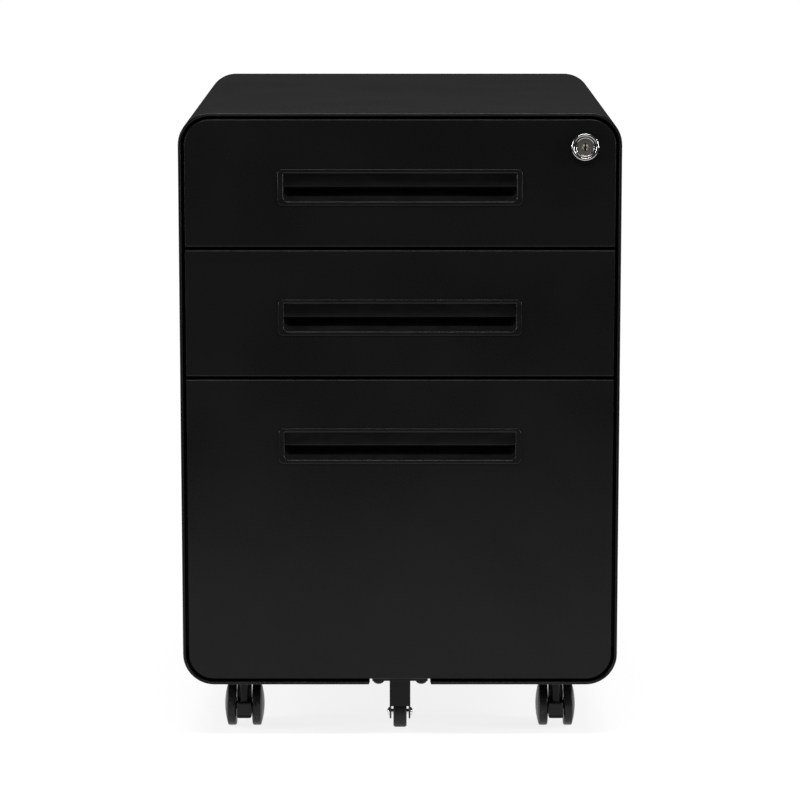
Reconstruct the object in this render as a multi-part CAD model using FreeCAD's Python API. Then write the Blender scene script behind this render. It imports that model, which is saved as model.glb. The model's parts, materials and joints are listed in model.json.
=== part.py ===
# Mobile three-drawer steel pedestal: two shallow drawers over one file drawer, in a wrap-round casing on
# four twin-wheel casters, with a fifth wheel under the file drawer and one lock for all the drawers.
#
# Frame: millimetres, +Z up, +X to the right of someone facing the drawers, the drawers open towards -Y.
# The origin is on the floor, below the middle of the whole object. Places that count from the casing's
# front edge are written as a depth, which back() turns into Y.
import FreeCAD, Part
import math
import os

# ------------------------------------------------------------------------------------ driving dimensions
casing_width = 390.0
casing_depth = 500.0
casing_height = 514.0
floor_gap = 50.0              # floor to the underside of the casing
corner_radius = 28.0          # outer corners of the wrap, seen from the front
casing_sheet = 1.2
rim_thickness = 2.5           # folded front edge of the wrap
rim_depth = 14.0
rear_lip = 2.3                # how far the back panel sits inside the rear edge
rear_flange = 14.0
panel_sheet = 1.0
panel_clearance = 0.4

front_gap = 2.5               # around and between the drawer fronts
front_recess = 0.5            # drawer fronts behind the casing's edge
front_depth = 18.0            # folded pan of a drawer front
front_sheet = 1.2
front_edge_radius = 1.2       # plain corners of a drawer front
shallow_front_height = 113.0
box_lift = 13.0               # bottom of a drawer front to the floor of its box
shallow_headroom = 37.5       # top of a shallow box to the top of its front
file_headroom = 25.0
box_sheet = 1.0
box_hem_height = 8.0
box_hem_thickness = 2.2
window_margin_side = 9.0      # overlap of the box's front wall on the pan's return
window_margin_end = 4.0
front_screw_inset = 10.0      # screws of a front above and below the edges of that opening
pan_inner_radius = 0.3        # least radius inside the folded pan

upright_depth = 12.0          # between the casing's side and the slides
upright_width = 30.0
upright_sheet = 1.5
front_upright_start = 30.0
rear_upright_margin = 15.0    # rear upright to the rear end of the slides

slide_start = 20.0
slide_rear_space = 30.0       # rear end of the slides to the rear edge of the casing
slide_height = 45.0
slide_thickness = 12.7
slide_sheet = 1.2
middle_slide_shorter = 20.0
middle_slide_inset = 3.4      # web of the middle member from the web face of the outer one
middle_slide_reach = 11.0
middle_slide_height = 34.0
inner_slide_height = 26.0
inner_slide_depth = 6.7
outer_slide_depth = 9.0
outer_slide_lip = 4.0
middle_slide_lip = 3.4
box_screw_front = 40.0        # front end of a slide to the first screw of its inner member
box_screw_rear = 70.0         # last screw to the rear end
file_slide_lift = 80.0        # slides of the file drawer above the floor of its box

pull_width = 219.0
pull_height = 34.0
pull_radius = 4.5
pull_border = 6.3             # visible border at the sides of the pull
pull_rail = 4.5               # visible border at its top and bottom
pull_drop = 60.0              # top of a drawer front to the middle of its pull
pull_stand = 0.8              # border in front of the drawer front
pull_wall = 1.5
pull_depth = 16.0             # cup behind the face of the drawer front
pull_undercut = 1.3           # shadow gap between the top border and the lip plate
pull_top_room = 1.0           # extra height of the cup's body over its walls
pull_lip_slope = 1.0          # depth over which the undercut opens
pull_scoop = 10.0             # rise of the scoop's floor towards the back
lip_plate_depth = 3.0         # front of the plate that the fingers hook behind
lip_plate_thickness = 1.5
lip_plate_bottom = 0.3        # its lower edge above the middle of the pull
fit_clearance = 0.2

lock_inset = 27.6             # lock centre to the right edge of the drawer front
lock_drop = 24.4              # and to its top edge
lock_head_radius = 12.2
lock_head_height = 3.0
lock_barrel_radius = 9.5
lock_barrel_length = 26.0
lock_plug_radius = 7.4
lock_head_edge = 1.2
lock_plug_recess = 1.0
lock_plug_overhang = 1.5      # plug behind the end of the barrel
keyway_width = 1.6
keyway_height = 7.0
keyway_depth = 20.0
lock_nut_across = 24.0
lock_nut_height = 4.0
lock_tail_radius = 2.5
crank_throw = 8.0
crank_tip_radius = 3.5
crank_thickness = 3.0
running_clearance = 0.05      # radial, between turning pieces

bar_depth = 66.0              # front edge of the lock bar
bar_width = 12.0
bar_thickness = 2.0
bar_travel = 8.0
bar_wall_space = 7.8          # bar to the inside of the casing's side
bar_below_catch = 20.0        # lowest catch to the lower end of the bar
hook_thickness = 4.0
hook_height = 6.0
hook_forward = 2.0            # hooks in front of the middle of the bar
hook_play = 2.0               # hook to catch along the travel
hook_reach = 12.0             # hook inwards from the bar
catch_thickness = 4.0
catch_reach = 10.0
catch_above_slide = 12.0
arm_lift = 5.7                # arm above the crank's axis at rest
arm_height = 4.0
arm_margin = 1.0              # arm in front of and behind the crank
arm_end_space = 1.1           # arm to the crank's boss
guide_height = 12.0
guide_below_catch = 40.0
guide_clearance = 0.5
guide_wall = 1.8
guide_margin = 3.0

rail_half_width = 25.0        # caster rails on the casing's floor
rail_height = 8.0
rail_sheet = 2.0
rail_front_space = 2.5        # behind the drawer fronts
rail_rear_space = 16.0

caster_front = 36.0           # stem axis from the front edge, and from the rear one at the back
caster_rear = 50.0
caster_trail = 15.0
caster_wheel_radius = 20.0
caster_wheel_inner = 7.2      # inner face of a wheel from the middle of its caster
caster_tread_width = 8.2
caster_dome = 2.6
caster_body_width = 13.3
caster_body_bottom = 11.0
caster_body_top = 26.0
caster_heel = 2.0             # middle of the body's rounded heel behind the axle
stem_radius = 4.0
stem_bottom = 13.0
stem_end_gap = 0.5
stem_tip = 1.3                # stem above its nut
collar_radius = 7.0
collar_height = 4.0
stem_nut_across = 13.0
stem_nut_height = 6.5
axle_radius = 2.5
axle_end_gap = 0.5
axle_cover = 1.0              # axle's end below the tread's outer edge
wheel_edge_radius = 1.8

fifth_depth = 30.0            # axle of the fifth wheel from the casing's front edge
fifth_radius = 14.1
fifth_width = 12.0
fifth_edge_radius = 2.0
fifth_clear = 3.5             # fifth wheel above the floor
fork_width = 18.7
fork_sheet = 1.5
fork_front = 15.5
fork_back = 40.0
fork_front_bottom = 26.0
fork_ear_radius = 6.5
fifth_plate_half = 25.0
fifth_plate_thickness = 2.5
fifth_plate_front = 4.0
fifth_plate_back = 44.0
fifth_bolt_spacing = 38.6
fifth_bolt_depth = 12.0
fifth_bolt_radius = 3.0
fifth_bolt_head_radius = 5.3
fifth_bolt_head_height = 4.6
fifth_nut_across = 10.0
fifth_nut_height = 5.0
fifth_bolt_tip = 1.0          # bolt above its nut
rivet_head_radius = 4.0
rivet_head_height = 2.6
notch_clearance = 2.2         # fifth wheel plate to the sides of the notch, at its top
notch_slant = 0.9
notch_end_space = 4.0

screw_head_radius = 3.5
screw_head_height = 1.6
screw_radius = 2.0
screw_clearance = 0.1
screw_tip = 3.0               # screw past the sheets that it holds
box_screw_tip = 0.5           # the same inside a drawer's box
panel_screw_head = 1.2
panel_screw_tip = 4.0
file_rail_thickness = 3.0
file_rail_height = 15.0
file_rail_drop = 3.0
file_rail_end_space = 8.0
past = 1.0                    # how far a cutting tool reaches past what it cuts
whole = 0.01                  # places nearer than this are the same

# ------------------------------------------------------------------------------------ derived places
lock_stand = lock_head_height - front_recess
front_y = lock_stand - (casing_depth + lock_stand) / 2
casing_top = floor_gap + casing_height
half_width = casing_width / 2
inner_half = half_width - casing_sheet
slide_mount = inner_half - upright_depth
box_half = slide_mount - slide_thickness
front_half = half_width - rim_thickness - front_gap
front_radius = corner_radius - rim_thickness - front_gap
fronts_bottom = floor_gap + rim_thickness + front_gap
fronts_top = casing_top - rim_thickness - front_gap
file_front_height = fronts_top - fronts_bottom - 2 * (shallow_front_height + front_gap)
pan_back = front_recess + front_depth
slide_length = casing_depth - slide_start - slide_rear_space
slide_end = slide_start + slide_length
rear_upright_start = slide_end - rear_upright_margin - upright_width
upright_middles = (front_upright_start + upright_width / 2, rear_upright_start + upright_width / 2)
lock_x = front_half - lock_inset
lock_z = fronts_top - lock_drop
bar_x = inner_half - bar_wall_space
hook_front = bar_depth + (bar_width - hook_thickness) / 2 - hook_forward
catch_front = hook_front + hook_thickness + hook_play
crank_front = hook_front
caster_x = half_width - corner_radius - rail_half_width
rail_top = floor_gap + casing_sheet + rail_height
fifth_z = fifth_clear + fifth_radius
bridge = fronts_bottom - fifth_plate_thickness      # underside of the fifth wheel's plate


class Drawer:
    """Places of one drawer: its front, box, slides and catch."""

    def __init__(self, name, bottom, height, headroom, slide_lift, top_radius, bottom_radius):
        self.name = name
        self.bottom = bottom
        self.top = bottom + height
        self.top_radius = top_radius
        self.bottom_radius = bottom_radius
        self.box_floor = bottom + box_lift
        self.box_top = self.top - headroom
        self.slide_z = self.box_floor + slide_lift + slide_height / 2
        self.catch_z = self.slide_z + slide_height / 2 + catch_above_slide
        self.pull_z = self.top - pull_drop


def make_drawers():
    file_top = fronts_bottom + file_front_height
    middle_bottom = file_top + front_gap
    top_bottom = middle_bottom + shallow_front_height + front_gap
    plain = front_edge_radius
    return [
        Drawer("top", top_bottom, shallow_front_height, shallow_headroom, 0.0, front_radius, plain),
        Drawer("middle", middle_bottom, shallow_front_height, shallow_headroom, 0.0, plain, plain),
        Drawer("bottom", fronts_bottom, file_front_height, file_headroom, file_slide_lift,
               plain, front_radius),
    ]


# ------------------------------------------------------------------------------------ shape helpers
def back(depth):
    """Y of a depth behind the casing's front edge."""
    return front_y + depth


def vec(x, y, z):
    return FreeCAD.Vector(x, y, z)


def block(x0, x1, d0, d1, z0, z1):
    """Box between two X, two depths and two Z."""
    return Part.makeBox(x1 - x0, d1 - d0, z1 - z0, vec(x0, back(d0), z0))


def corner_arc(cx, cz, y, radius, start):
    """Quarter arc in a plane of constant Y, from the start angle (degrees) on, anticlockwise in X-Z."""
    points = []
    for angle in (start, start + 45, start + 90):
        a = math.radians(angle)
        points.append(vec(cx + radius * math.cos(a), y, cz + radius * math.sin(a)))
    return Part.Arc(*points).toShape()


def rounded_plate(x0, x1, z0, z1, d0, d1, top_radius, bottom_radius):
    """Plate seen from the front, with one radius for its top corners and one for its bottom ones."""
    y = back(d0)
    corners = [
        corner_arc(x1 - top_radius, z1 - top_radius, y, top_radius, 0),
        corner_arc(x0 + top_radius, z1 - top_radius, y, top_radius, 90),
        corner_arc(x0 + bottom_radius, z0 + bottom_radius, y, bottom_radius, 180),
        corner_arc(x1 - bottom_radius, z0 + bottom_radius, y, bottom_radius, 270),
    ]
    edges = []
    for i, arc in enumerate(corners):
        following = corners[(i + 1) % 4]
        edges.append(arc)
        edges.append(Part.makeLine(arc.Vertexes[-1].Point, following.Vertexes[0].Point))
    face = Part.Face(Part.Wire(edges))
    return face.extrude(vec(0, d1 - d0, 0))


def casing_slice(inset, d0, d1):
    """Solid slice of the casing's outline, moved inwards by inset."""
    radius = corner_radius - inset
    return rounded_plate(-half_width + inset, half_width - inset, floor_gap + inset, casing_top - inset,
                         d0, d1, radius, radius)


def extrude_polygon(points, direction):
    """Solid from a closed outline of points and one extrusion vector."""
    return Part.Face(Part.makePolygon(points + points[:1])).extrude(direction)


def rod(x, d, z, radius, length, axis):
    """Cylinder from a start point along an axis."""
    return Part.makeCylinder(radius, length, vec(x, back(d), z), axis)


def drill(x, d, z, radius, thickness, axis):
    """Cutting rod through a thickness that starts at a point, reaching past both of its faces."""
    start = vec(x, back(d), z) - axis * past
    return Part.makeCylinder(radius, thickness + 2 * past, start, axis)


def hexagon(centre, across, height, axis_y):
    """Hexagonal prism along +Y (axis_y true) or +Z, from its centre's plane on."""
    corner = across / math.sqrt(3)
    points = []
    for i in range(6):
        a = math.radians(60 * i)
        if axis_y:
            points.append(centre + vec(corner * math.cos(a), 0, corner * math.sin(a)))
        else:
            points.append(centre + vec(corner * math.cos(a), corner * math.sin(a), 0))
    direction = vec(0, height, 0) if axis_y else vec(0, 0, height)
    return extrude_polygon(points, direction)


def mirrored(shape):
    """The same piece on the left side."""
    return shape.mirror(vec(0, 0, 0), vec(1, 0, 0))


def both_sides(shape):
    return [shape, mirrored(shape)]


def cut_all(shape, tools):
    for tool in tools:
        shape = shape.cut(tool)
    return shape


def save(name, solids):
    """Write one node; several solids make one node of separate pieces."""
    os.makedirs("parts", exist_ok=True)
    shape = solids[0] if len(solids) == 1 else Part.makeCompound(solids)
    shape.exportStep("parts/" + name + ".step")
    print(name, len(shape.Solids), round(shape.Volume / 1000, 2), "cm3", "ok" if shape.isValid() else "BAD")


# ------------------------------------------------------------------------------------ casing
def stem_places():
    """X and depth of each caster's stem, with the name of its corner."""
    rear = casing_depth - caster_rear
    return [
        ("front_left", -caster_x, caster_front),
        ("front_right", caster_x, caster_front),
        ("rear_left", -caster_x, rear),
        ("rear_right", caster_x, rear),
    ]


def panel_screw_places():
    """X and Z of the screws of the back panel, on the middle of the rear flange."""
    side = inner_half - rear_flange / 2
    low = floor_gap + corner_radius
    high = casing_top - corner_radius
    rows = [low + (high - low) * i / 3 for i in range(4)]
    return [(sign * side, z) for sign in (-1, 1) for z in rows]


def notch():
    """Way out for the fifth wheel through the casing's bottom edge, with slanted sides."""
    top = floor_gap + rim_thickness
    narrow = fifth_plate_half + notch_clearance
    wide = narrow + notch_slant
    y = back(-past)
    points = [vec(-wide, y, floor_gap), vec(wide, y, floor_gap), vec(narrow, y, top), vec(-narrow, y, top)]
    slot = extrude_polygon(points, vec(0, fifth_plate_back + notch_end_space + past, 0))
    below = block(-wide, wide, -past, fifth_plate_back + notch_end_space, floor_gap - past, floor_gap)
    above = block(-narrow, narrow, -past, fifth_plate_back + notch_end_space, top, top + past)
    return slot.fuse([below, above])


def outer_casing():
    flange_back = casing_depth - rear_lip
    flange_front = flange_back - casing_sheet
    shell = casing_slice(0, 0, casing_depth)
    shell = shell.cut(casing_slice(rim_thickness, -past, rim_depth))
    shell = shell.cut(casing_slice(casing_sheet, rim_depth, flange_front))
    shell = shell.cut(casing_slice(casing_sheet + rear_flange, flange_front, flange_back))
    shell = shell.cut(casing_slice(casing_sheet, flange_back, casing_depth + past))
    tools = [notch()]
    for _, x, d in stem_places():
        tools.append(drill(x, d, floor_gap, stem_radius + screw_clearance, casing_sheet, vec(0, 0, 1)))
    for x, z in panel_screw_places():
        tools.append(drill(x, flange_front, z, screw_radius + screw_clearance, casing_sheet, vec(0, 1, 0)))
    return cut_all(shell, tools)


def back_panel():
    start = casing_depth - rear_lip
    panel = casing_slice(casing_sheet + panel_clearance, start, start + panel_sheet)
    holes = [drill(x, start, z, screw_radius + screw_clearance, panel_sheet, vec(0, 1, 0))
             for x, z in panel_screw_places()]
    return cut_all(panel, holes)


def back_screws():
    start = casing_depth - rear_lip + panel_sheet
    shank = panel_sheet + casing_sheet + panel_screw_tip
    screws = []
    for x, z in panel_screw_places():
        head = rod(x, start, z, screw_head_radius, panel_screw_head, vec(0, 1, 0))
        screws.append(head.fuse(rod(x, start - shank, z, screw_radius, shank, vec(0, 1, 0))))
    return screws


def upright(start, drawers):
    """U-shaped post on the right side of the casing, open towards the casing."""
    low = floor_gap + corner_radius
    high = casing_top - corner_radius
    post = block(slide_mount, inner_half, start, start + upright_width, low, high)
    hollow = block(slide_mount + upright_sheet, inner_half + past, start + upright_sheet,
                   start + upright_width - upright_sheet, low - past, high + past)
    middle = start + upright_width / 2
    holes = [drill(slide_mount, middle, drawer.slide_z, screw_radius + screw_clearance, upright_sheet,
                   vec(1, 0, 0)) for drawer in drawers]
    return cut_all(post.cut(hollow), holes)


def caster_rail():
    """Upturned channel on the casing's floor that spreads the load of two casters, right side."""
    x0 = caster_x - rail_half_width
    x1 = caster_x + rail_half_width
    bottom = floor_gap + casing_sheet
    front = pan_back + rail_front_space
    rear = casing_depth - rail_rear_space
    rail = block(x0, x1, front, rear, bottom, rail_top)
    hollow = block(x0 + rail_sheet, x1 - rail_sheet, front - past, rear + past, bottom - past,
                   rail_top - rail_sheet)
    holes = [drill(x, d, rail_top - rail_sheet, stem_radius + screw_clearance, rail_sheet, vec(0, 0, 1))
             for _, x, d in stem_places() if x > 0]
    return cut_all(rail.cut(hollow), holes)


# ------------------------------------------------------------------------------------ slides
def channel(z, x_open, x_web, half, lip, d0, length):
    """C-section along the depth: web at x_web, flanges towards x_open, lips turned in by lip."""
    t = slide_sheet
    way = 1 if x_open > x_web else -1
    outline = [(x_web, -half), (x_open, -half), (x_open, -half + lip), (x_open - way * t, -half + lip),
               (x_open - way * t, -half + t), (x_web + way * t, -half + t)]
    outline += [(x, -v) for x, v in reversed(outline)]
    points = [vec(x, back(d0), z + v) for x, v in outline]
    return extrude_polygon(points, vec(0, length, 0))


def outer_slide(drawer):
    """Fixed member, screwed to the two uprights of the right side."""
    member = channel(drawer.slide_z, slide_mount - outer_slide_depth, slide_mount, slide_height / 2,
                     outer_slide_lip, slide_start, slide_length)
    holes = [drill(slide_mount - slide_sheet, d, drawer.slide_z, screw_radius + screw_clearance,
                   slide_sheet, vec(1, 0, 0)) for d in upright_middles]
    return cut_all(member, holes)


def middle_slide(drawer):
    """Member between the other two, which travels half as far as the drawer."""
    return channel(drawer.slide_z, slide_mount - middle_slide_reach, slide_mount - middle_slide_inset,
                   middle_slide_height / 2, middle_slide_lip, slide_start, slide_length - middle_slide_shorter)


def box_screw_depths():
    return (slide_start + box_screw_front, slide_end - box_screw_rear)


def inner_slide(drawer):
    """Member on the side of the drawer's box."""
    member = channel(drawer.slide_z, box_half + inner_slide_depth, box_half, inner_slide_height / 2,
                     slide_sheet, slide_start, slide_length)
    holes = [drill(box_half, d, drawer.slide_z, screw_radius + screw_clearance, slide_sheet, vec(1, 0, 0))
             for d in box_screw_depths()]
    return cut_all(member, holes)


def slide_screws(drawers):
    """Screws of the fixed members, heads inside the channel."""
    screws = []
    face = slide_mount - slide_sheet
    for drawer in drawers:
        for d in upright_middles:
            head = rod(face - screw_head_height, d, drawer.slide_z, screw_head_radius, screw_head_height,
                       vec(1, 0, 0))
            shank = rod(face, d, drawer.slide_z, screw_radius, slide_sheet + upright_sheet + screw_tip,
                        vec(1, 0, 0))
            screws += both_sides(head.fuse(shank))
    return screws


# ------------------------------------------------------------------------------------ drawers
def pull_cutout(drawer, clearance):
    """Hole in a drawer front that the pull's cup goes through."""
    half = pull_width / 2 - pull_border + pull_wall + clearance
    rise = pull_height / 2 - pull_rail + pull_wall + pull_top_room + clearance
    return block(-half, half, front_recess - past, front_recess + front_sheet + past,
                 drawer.pull_z - rise, drawer.pull_z + rise)


def window(drawer):
    """Opening in the back of the pan, inside the outline of the box's front wall."""
    half = box_half - window_margin_side
    return (-half, half, drawer.box_floor + window_margin_end, drawer.box_top - window_margin_end)


def front_screw_places(drawer):
    """X and Z of the screws that hold a box to its front."""
    side = box_half - window_margin_side / 2
    inset = window_margin_end + front_screw_inset
    return [(sign * side, z) for sign in (-1, 1)
            for z in (drawer.box_floor + inset, drawer.box_top - inset)]


def drawer_front(drawer):
    """Folded pan with returned edges; the box's front wall closes it behind."""
    t = front_sheet
    pan = rounded_plate(-front_half, front_half, drawer.bottom, drawer.top, front_recess, pan_back,
                        drawer.top_radius, drawer.bottom_radius)
    hollow = rounded_plate(-front_half + t, front_half - t, drawer.bottom + t, drawer.top - t,
                           front_recess + t, pan_back - t,
                           max(drawer.top_radius - t, pan_inner_radius),
                           max(drawer.bottom_radius - t, pan_inner_radius))
    x0, x1, z0, z1 = window(drawer)
    tools = [hollow, block(x0, x1, pan_back - t - past, pan_back + past, z0, z1),
             pull_cutout(drawer, fit_clearance)]
    for x, z in front_screw_places(drawer):
        tools.append(drill(x, pan_back - t, z, screw_radius + screw_clearance, t, vec(0, 1, 0)))
    if drawer.name == "top":
        tools.append(drill(lock_x, front_recess, lock_z, lock_barrel_radius + fit_clearance, front_depth,
                           vec(0, 1, 0)))
    if drawer.name == "bottom":
        for sign in (-1, 1):
            tools.append(drill(sign * fifth_bolt_spacing / 2, fifth_bolt_depth, drawer.bottom,
                               fifth_bolt_radius + screw_clearance, t, vec(0, 0, 1)))
    return cut_all(pan, tools)


def pull_cup(drawer):
    """Moulded finger pull: a border, a cup with a scooped floor, and a plate to hook the fingers behind."""
    z = drawer.pull_z
    half = pull_width / 2
    rise = pull_height / 2
    open_half = half - pull_border
    open_rise = rise - pull_rail
    border = rounded_plate(-half, half, z - rise, z + rise, front_recess - pull_stand, front_recess,
                           pull_radius, pull_radius)
    body_half = open_half + pull_wall
    body_rise = open_rise + pull_wall + pull_top_room
    cup = block(-body_half, body_half, front_recess, front_recess + pull_depth, z - body_rise, z + body_rise)
    shape = border.fuse(cup)
    face = front_recess - pull_stand - past
    lip = front_recess + front_sheet
    rear = front_recess + pull_depth - pull_wall
    profile = [(face, -open_rise), (lip, -open_rise), (rear, -open_rise + pull_scoop),
               (rear, open_rise + pull_undercut), (lip + pull_lip_slope, open_rise + pull_undercut),
               (lip, open_rise), (face, open_rise)]
    points = [vec(-open_half, back(d), z + v) for d, v in profile]
    plate_front = front_recess + lip_plate_depth
    plate = block(-open_half, open_half, plate_front, plate_front + lip_plate_thickness,
                  z + lip_plate_bottom, z + open_rise + pull_undercut)
    return shape.cut(extrude_polygon(points, vec(2 * open_half, 0, 0))).fuse(plate).removeSplitter()


def drawer_box(drawer):
    """Open-topped steel tray with a folded top edge and the catch for the lock bar."""
    t = box_sheet
    rear = slide_end
    tray = block(-box_half, box_half, pan_back, rear, drawer.box_floor, drawer.box_top)
    inside = block(-box_half + t, box_half - t, pan_back + t, rear - t, drawer.box_floor + t,
                   drawer.box_top - box_hem_height)
    mouth_inset = box_hem_thickness
    mouth = block(-box_half + mouth_inset, box_half - mouth_inset, pan_back + mouth_inset,
                  rear - mouth_inset, drawer.box_floor + t, drawer.box_top + past)
    catch = block(box_half, box_half + catch_reach, catch_front, catch_front + catch_thickness,
                  drawer.catch_z - hook_height / 2, drawer.catch_z + hook_height / 2)
    tray = cut_all(tray, [inside, mouth]).fuse(catch)
    holes = []
    for d in box_screw_depths():
        for sign in (-1, 1):
            holes.append(drill(sign * box_half, d, drawer.slide_z, screw_radius + screw_clearance, t,
                               vec(-sign, 0, 0)))
    for x, z in front_screw_places(drawer):
        holes.append(drill(x, pan_back, z, screw_radius + screw_clearance, t, vec(0, 1, 0)))
    return cut_all(tray, holes)


def drawer_screws(drawer):
    """Screws of one drawer: slide to box from outside, box to front from inside."""
    screws = []
    for d in box_screw_depths():
        face = box_half + slide_sheet
        head = rod(face, d, drawer.slide_z, screw_head_radius, screw_head_height, vec(1, 0, 0))
        shank = rod(face, d, drawer.slide_z, screw_radius, slide_sheet + box_sheet + box_screw_tip,
                    vec(-1, 0, 0))
        screws += both_sides(head.fuse(shank))
    face = pan_back + box_sheet
    for x, z in front_screw_places(drawer):
        head = rod(x, face, z, screw_head_radius, screw_head_height, vec(0, 1, 0))
        shank = rod(x, face, z, screw_radius, box_sheet + front_sheet + screw_tip,
                    vec(0, -1, 0))
        screws.append(head.fuse(shank))
    return screws


def file_rails(drawer):
    """Two rails along the sides of the file drawer that hanging folders hook on."""
    outside = box_half - box_hem_thickness
    top = drawer.box_top - file_rail_drop
    rail = block(outside - file_rail_thickness, outside, pan_back + file_rail_end_space,
                 slide_end - file_rail_end_space, top - file_rail_height, top)
    return both_sides(rail)


# ------------------------------------------------------------------------------------ lock
def lock_barrel():
    """Chrome cylinder: round head on the drawer front, threaded barrel behind it, bored for the plug."""
    head = rod(lock_x, front_recess - lock_head_height, lock_z, lock_head_radius, lock_head_height,
               vec(0, 1, 0))
    head = head.makeFillet(lock_head_edge, [head.Edges[i] for i in front_circle(head)])
    barrel = rod(lock_x, front_recess, lock_z, lock_barrel_radius, lock_barrel_length, vec(0, 1, 0))
    bore = drill(lock_x, front_recess - lock_head_height, lock_z, lock_plug_radius + running_clearance,
                 lock_head_height + lock_barrel_length, vec(0, 1, 0))
    return head.fuse(barrel).cut(bore)


def front_circle(shape):
    """Indexes of the round edges that lie on the shape's frontmost plane."""
    y = shape.BoundBox.YMin
    return [i for i, edge in enumerate(shape.Edges)
            if abs(edge.BoundBox.YMin - y) < whole and abs(edge.BoundBox.YMax - y) < whole]


def lock_plug():
    start = front_recess - lock_head_height + lock_plug_recess
    end = front_recess + lock_barrel_length + lock_plug_overhang
    plug = rod(lock_x, start, lock_z, lock_plug_radius, end - start, vec(0, 1, 0))
    slot = block(lock_x - keyway_width / 2, lock_x + keyway_width / 2, start - past, start + keyway_depth,
                 lock_z - keyway_height / 2, lock_z + keyway_height / 2)
    return plug.cut(slot)


def lock_tail():
    """Rod from the plug to the depth of the lock bar, with a crank that points to the right at rest."""
    start = front_recess + lock_barrel_length + lock_plug_overhang
    tail = rod(lock_x, start, lock_z, lock_tail_radius, crank_front + crank_thickness - start, vec(0, 1, 0))
    end = rod(lock_x, crank_front, lock_z, crank_tip_radius, crank_thickness, vec(0, 1, 0))
    tip = rod(lock_x + crank_throw, crank_front, lock_z, crank_tip_radius, crank_thickness, vec(0, 1, 0))
    web = block(lock_x, lock_x + crank_throw, crank_front, crank_front + crank_thickness,
                lock_z - crank_tip_radius, lock_z + crank_tip_radius)
    return tail.fuse([end, tip, web])


def lock_nut():
    nut = hexagon(vec(lock_x, back(pan_back), lock_z), lock_nut_across, lock_nut_height, True)
    return nut.cut(drill(lock_x, pan_back, lock_z, lock_barrel_radius + screw_clearance, lock_nut_height,
                         vec(0, 1, 0)))


def lock_bar(drawers):
    """Upright bar that the crank lifts; each hook rises in front of a drawer's catch."""
    lowest = min(drawer.catch_z for drawer in drawers) - bar_below_catch
    arm_bottom = lock_z + arm_lift
    bar = block(bar_x - bar_thickness, bar_x, bar_depth, bar_depth + bar_width, lowest,
                arm_bottom + arm_height)
    arm = block(lock_x + crank_tip_radius + arm_end_space, bar_x, crank_front - arm_margin,
                crank_front + crank_thickness + arm_margin, arm_bottom, arm_bottom + arm_height)
    hooks = []
    for drawer in drawers:
        low = drawer.catch_z - hook_height / 2 - bar_travel
        hooks.append(block(bar_x - bar_thickness - hook_reach, bar_x, hook_front,
                           hook_front + hook_thickness, low, low + hook_height))
    return bar.fuse([arm] + hooks)


def lock_bar_guides(drawers):
    """Blocks on the casing's side that the bar slides through."""
    guides = []
    gap = guide_clearance
    for drawer in drawers:
        z = drawer.catch_z - guide_below_catch
        body = block(bar_x - bar_thickness - guide_wall, inner_half, bar_depth - guide_margin,
                     bar_depth + bar_width + guide_margin, z, z + guide_height)
        slot = block(bar_x - bar_thickness - gap, bar_x + gap, bar_depth - gap, bar_depth + bar_width + gap,
                     z - past, z + guide_height + past)
        guides.append(body.cut(slot))
    return guides


# ------------------------------------------------------------------------------------ casters
def caster_stems():
    """Threaded stems with a collar under the casing; each turns in the socket of its caster's body."""
    stems = []
    top = rail_top + stem_nut_height + stem_tip
    for _, x, d in stem_places():
        shank = rod(x, d, stem_bottom, stem_radius, top - stem_bottom, vec(0, 0, 1))
        collar = rod(x, d, floor_gap - collar_height, collar_radius, collar_height, vec(0, 0, 1))
        stems.append(shank.fuse(collar))
    return stems


def caster_nuts():
    nuts = []
    for _, x, d in stem_places():
        nut = hexagon(vec(x, back(d), rail_top), stem_nut_across, stem_nut_height, False)
        nuts.append(nut.cut(drill(x, d, rail_top, stem_radius + screw_clearance, stem_nut_height,
                                  vec(0, 0, 1))))
    return nuts


def caster_body(x, d):
    """Arm between the wheels, from the stem's socket to the axle."""
    half = caster_body_width / 2
    height = caster_body_top - caster_body_bottom
    end = d + caster_trail + caster_heel
    nose = rod(x, d, caster_body_bottom, half, height, vec(0, 0, 1))
    heel = rod(x, end, caster_body_bottom, half, height, vec(0, 0, 1))
    web = block(x - half, x + half, d, end, caster_body_bottom, caster_body_top)
    socket = rod(x, d, stem_bottom - stem_end_gap, stem_radius + running_clearance, caster_body_top,
                 vec(0, 0, 1))
    cross = drill(x - half, d + caster_trail, caster_wheel_radius, axle_radius, 2 * half, vec(1, 0, 0))
    return cut_all(nose.fuse([heel, web]), [socket, cross])


def axle_reach():
    """Half length of an axle: its ends lie in blind bores of the wheels."""
    return caster_wheel_inner + caster_tread_width - axle_cover


def caster_axle(x, d):
    reach = axle_reach()
    return rod(x - reach, d + caster_trail, caster_wheel_radius, axle_radius, 2 * reach, vec(1, 0, 0))


def caster_wheel(x, d, side):
    """Wheel with a flat tread, rounded edges and a domed outer face; side is -1 (left) or 1 (right)."""
    r = caster_wheel_radius
    depth = d + caster_trail
    outer = x + side * (caster_wheel_inner + caster_tread_width)
    inner = x + side * caster_wheel_inner
    outward = vec(side, 0, 0)
    tread = rod(inner, depth, r, r, caster_tread_width, outward)
    rims = [edge for edge in tread.Edges if edge.BoundBox.XLength < whole]
    tread = tread.makeFillet(wheel_edge_radius, rims)
    face_radius = r - wheel_edge_radius
    ball_radius = (face_radius ** 2 + caster_dome ** 2) / (2 * caster_dome)
    centre = outer + side * (caster_dome - ball_radius)
    ball = Part.makeSphere(ball_radius, vec(centre, back(depth), r))
    dome = ball.common(drill(outer, depth, r, face_radius, caster_dome, outward))
    bore = rod(inner - side * past, depth, r, axle_radius + running_clearance,
               axle_reach() + axle_end_gap - caster_wheel_inner + past, outward)
    return tread.fuse(dome).cut(bore).removeSplitter()


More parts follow.
